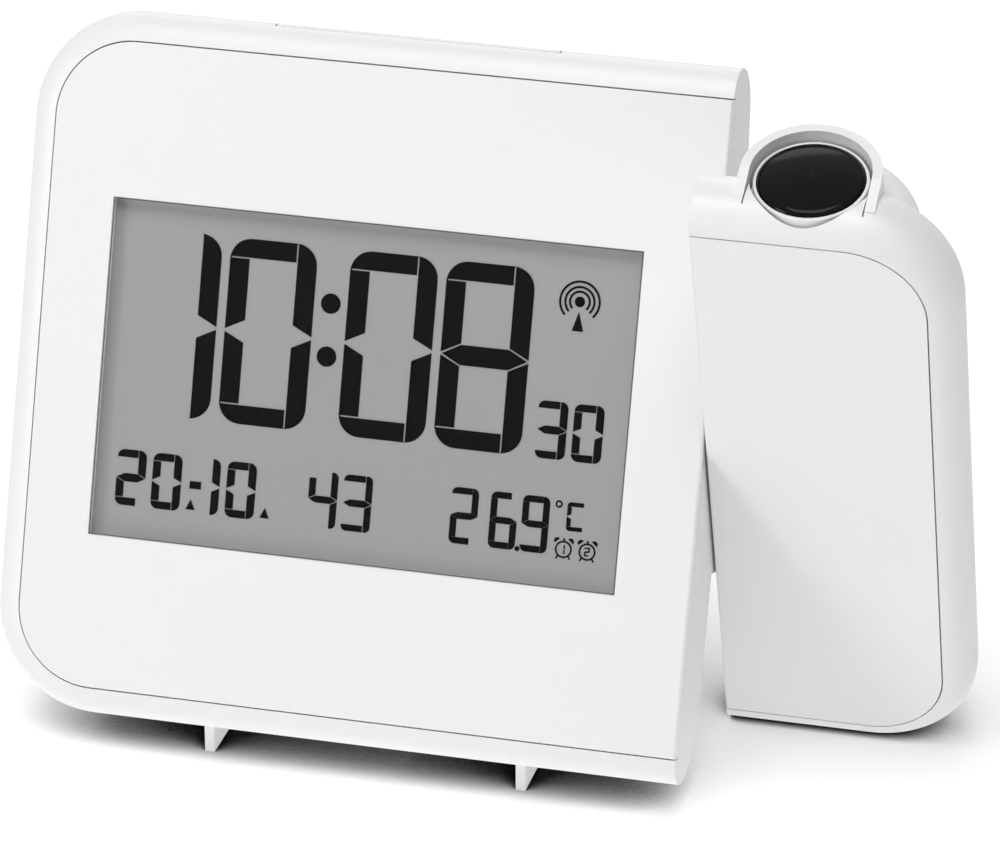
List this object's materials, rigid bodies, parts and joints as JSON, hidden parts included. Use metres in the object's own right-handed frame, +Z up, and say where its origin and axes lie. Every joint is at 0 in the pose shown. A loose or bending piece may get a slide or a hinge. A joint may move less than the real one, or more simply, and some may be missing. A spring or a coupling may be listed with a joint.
{
  "type": "projection alarm clock",
  "caption": "White radio alarm clock: a lean-back display unit hinged to a swivelling arm with a projection lens, standing like a trestle.",
  "frame": {"origin": "centre of the bounding box in plan, at the height of the surface the clock stands on", "axes": "+X along the clock from the display unit to the projector arm, -Y towards the person who reads it, +Z up; the row is stored as the clock stands in use, with the arm swung forward"},
  "size_m": [0.156, 0.0506, 0.1146],
  "materials": {
    "case_plastic": "fine-textured moulded ABS",
    "panel_plastic": "smooth moulded ABS",
    "window_clear": "clear acrylic sheet",
    "lcd_glass": "reflective liquid crystal glass",
    "guide_clear": "frosted acrylic light guide",
    "inner_plastic": "moulded plastic",
    "board_laminate": "glass-fibre circuit board",
    "switch_black": "black moulded plastic",
    "chip_resin": "black resin",
    "metal_can": "plated steel",
    "ferrite": "sintered ferrite",
    "copper_wire": "enamelled copper wire",
    "cell_jacket": "printed steel jacket",
    "contact_metal": "nickel-plated spring steel",
    "screw_metal": "zinc-plated steel",
    "key_plastic": "moulded ABS",
    "lens_dark": "polished dark acrylic",
    "optic_clear": "clear moulded optic"
  },
  "bodies": {
    "display_unit": {"display_rear_housing": "case_plastic", "display_front_panel": "panel_plastic", "lcd_window": "window_clear", "lcd_glass": "lcd_glass", "light_guide": "guide_clear", "lcd_frame": "inner_plastic", "main_circuit_board": "board_laminate", "key_switches": "switch_black", "snooze_switch": "switch_black", "clock_chip": "chip_resin", "quartz_crystal": "metal_can", "alarm_buzzer": "switch_black", "antenna_rod": "ferrite", "antenna_coil": "copper_wire", "temperature_sensor": "chip_resin", "battery_cells": "cell_jacket", "battery_contacts": "contact_metal", "supply_socket": "switch_black", "case_screws": "screw_metal", "foot_left": "case_plastic", "foot_right": "case_plastic"},
    "projector_arm": {"arm_rear_housing": "case_plastic", "arm_front_panel": "panel_plastic", "arm_screws": "screw_metal", "lens_mount": "case_plastic", "projector_tube": "inner_plastic", "condenser_lens": "optic_clear", "projection_lcd": "lcd_glass", "projection_led": "optic_clear", "arm_circuit_board": "board_laminate", "hinge_pivot": "inner_plastic", "hinge_clip": "contact_metal", "hinge_washer": "contact_metal"},
    "focus_barrel": {"focus_ring": "case_plastic", "projection_lens": "lens_dark"},
    "snooze": {"snooze_bar": "case_plastic"},
    "door": {"battery_door": "case_plastic"},
    "key_set_body": {"key_set": "key_plastic"},
    "key_mode_body": {"key_mode": "key_plastic"},
    "key_up_body": {"key_up": "key_plastic"},
    "key_down_body": {"key_down": "key_plastic"},
    "key_alarm_body": {"key_alarm": "key_plastic"},
    "key_signal_body": {"key_signal": "key_plastic"}
  },
  "joints": [
    {"name": "arm_hinge", "type": "hinge", "parent": "display_unit", "child": "projector_arm", "pos_m": [0.0366, 0.00653, 0.0595], "axis": [1, 0, 0], "range_deg": [-38.57, 141.43]},
    {"name": "focus_turn", "type": "hinge", "parent": "projector_arm", "child": "focus_barrel", "pos_m": [0.05395, -0.01456, 0.11009], "axis": [0, -0.3251, 0.9457], "range_deg": [-60, 60]},
    {"name": "snooze_press", "type": "slide", "parent": "display_unit", "child": "snooze", "axis": [0, -0.3355, -0.9421], "range_m": [0, 0.0008], "stiffness_N_per_m": 300, "springref_m": -0.001},
    {"name": "battery_door_slide", "type": "slide", "parent": "display_unit", "child": "door", "axis": [0, -0.3355, -0.9421], "range_m": [0, 0.008]},
    {"name": "key_set_press", "type": "slide", "parent": "display_unit", "child": "key_set_body", "axis": [0, -0.9421, 0.3355], "range_m": [0, 0.0008], "stiffness_N_per_m": 300, "springref_m": -0.001},
    {"name": "key_mode_press", "type": "slide", "parent": "display_unit", "child": "key_mode_body", "axis": [0, -0.9421, 0.3355], "range_m": [0, 0.0008], "stiffness_N_per_m": 300, "springref_m": -0.001},
    {"name": "key_up_press", "type": "slide", "parent": "display_unit", "child": "key_up_body", "axis": [0, -0.9421, 0.3355], "range_m": [0, 0.0008], "stiffness_N_per_m": 300, "springref_m": -0.001},
    {"name": "key_down_press", "type": "slide", "parent": "display_unit", "child": "key_down_body", "axis": [0, -0.9421, 0.3355], "range_m": [0, 0.0008], "stiffness_N_per_m": 300, "springref_m": -0.001},
    {"name": "key_alarm_press", "type": "slide", "parent": "display_unit", "child": "key_alarm_body", "axis": [0, -0.9421, 0.3355], "range_m": [0, 0.0008], "stiffness_N_per_m": 300, "springref_m": -0.001},
    {"name": "key_signal_press", "type": "slide", "parent": "display_unit", "child": "key_signal_body", "axis": [0, -0.9421, 0.3355], "range_m": [0, 0.0008], "stiffness_N_per_m": 300, "springref_m": -0.001}
  ]
}
